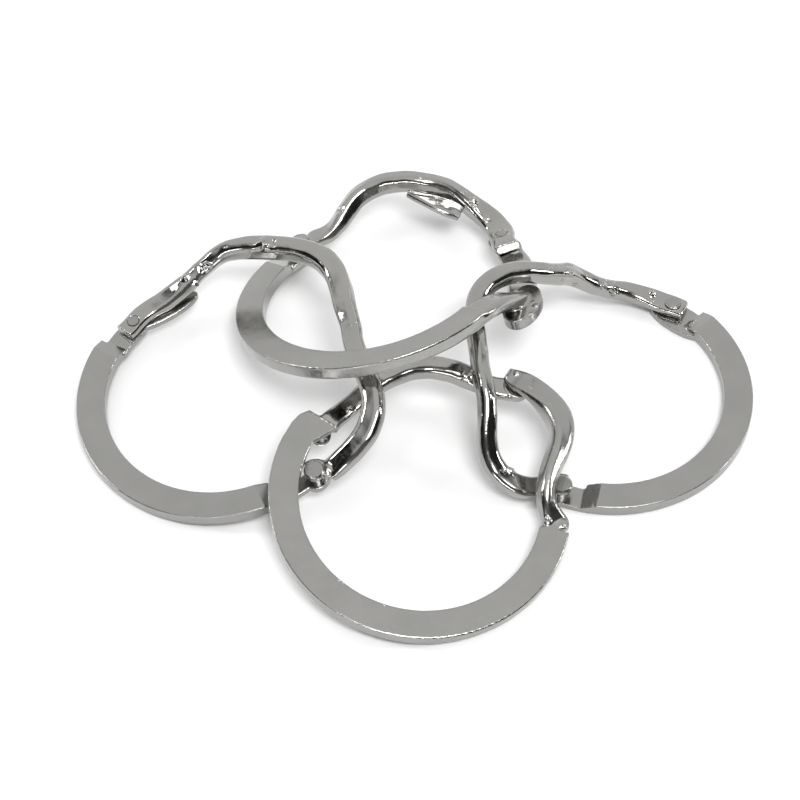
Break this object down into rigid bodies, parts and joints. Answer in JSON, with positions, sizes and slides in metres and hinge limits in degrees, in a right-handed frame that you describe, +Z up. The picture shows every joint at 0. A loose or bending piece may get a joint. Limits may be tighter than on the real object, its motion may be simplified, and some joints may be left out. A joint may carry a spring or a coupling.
{
  "type": "linked puzzle key ring",
  "caption": "Heap of interlinked flat-band rings, each closed by a wavy riveted gate with a push-on latch, made to hold keys.",
  "frame": {"origin": "middle of the heap's footprint, on the plane it lies on", "axes": "+Z up; +X towards the flat-lying ring whose gate stands highest; +Y away from the ring that lies nearest the viewer"},
  "size_m": [0.0929, 0.0745, 0.0171],
  "materials": {
    "ring_plating": "bright nickel-chrome plating on a cast band, slightly uneven",
    "pin_plating": "polished plated steel"
  },
  "bodies": {
    "left_ring": {"left_shank": "ring_plating", "left_hinge_rivet": "pin_plating", "left_latch_post": "pin_plating"},
    "left_gate": {"left_gate": "ring_plating"},
    "right_ring": {"right_shank": "ring_plating", "right_hinge_rivet": "pin_plating", "right_latch_post": "pin_plating"},
    "right_gate": {"right_gate": "ring_plating"},
    "front_ring": {"front_shank": "ring_plating", "front_hinge_rivet": "pin_plating", "front_latch_post": "pin_plating"},
    "front_gate": {"front_gate": "ring_plating"},
    "top_ring": {"top_shank": "ring_plating", "top_hinge_rivet": "pin_plating", "top_latch_post": "pin_plating"},
    "top_gate": {"top_gate": "ring_plating"}
  },
  "joints": [
    {"name": "left_gate_hinge", "type": "hinge", "parent": "left_ring", "child": "left_gate", "pos_m": [-0.03922, 0.01252, 0.00293], "axis": [-0.0993, -0.0695, 0.9926], "range_deg": [0, 5]},
    {"name": "right_gate_hinge", "type": "hinge", "parent": "right_ring", "child": "right_gate", "pos_m": [0.03645, 0.01715, 0.00095], "axis": [0, 0, -1], "range_deg": [0, 6]},
    {"name": "front_gate_hinge", "type": "hinge", "parent": "front_ring", "child": "front_gate", "pos_m": [0.01357, -0.00057, 0.00556], "axis": [-0.0887, 0.1429, -0.9858], "range_deg": [0, 45]},
    {"name": "top_gate_hinge", "type": "hinge", "parent": "top_ring", "child": "top_gate", "pos_m": [0.01158, 0.02922, 0.00807], "axis": [0.2307, -0.3091, -0.9226], "range_deg": [0, 60]},
    {"name": "front_link", "type": "hinge", "parent": "right_ring", "child": "front_ring", "pos_m": [0.00905, -0.00285, 0.00895], "axis": [-0.9967, 0.0792, 0.0193], "range_deg": [0, 4]},
    {"name": "left_link", "type": "hinge", "parent": "front_ring", "child": "left_ring", "pos_m": [-0.01652, -0.01641, 0.00598], "axis": [0.5561, 0.8115, 0.1796], "range_deg": [0, 6]},
    {"name": "top_link", "type": "hinge", "parent": "right_ring", "child": "top_ring", "pos_m": [0.00805, 0.00585, 0.01345], "axis": [0.527, 0.7746, -0.3498], "range_deg": [0, 3]}
  ]
}
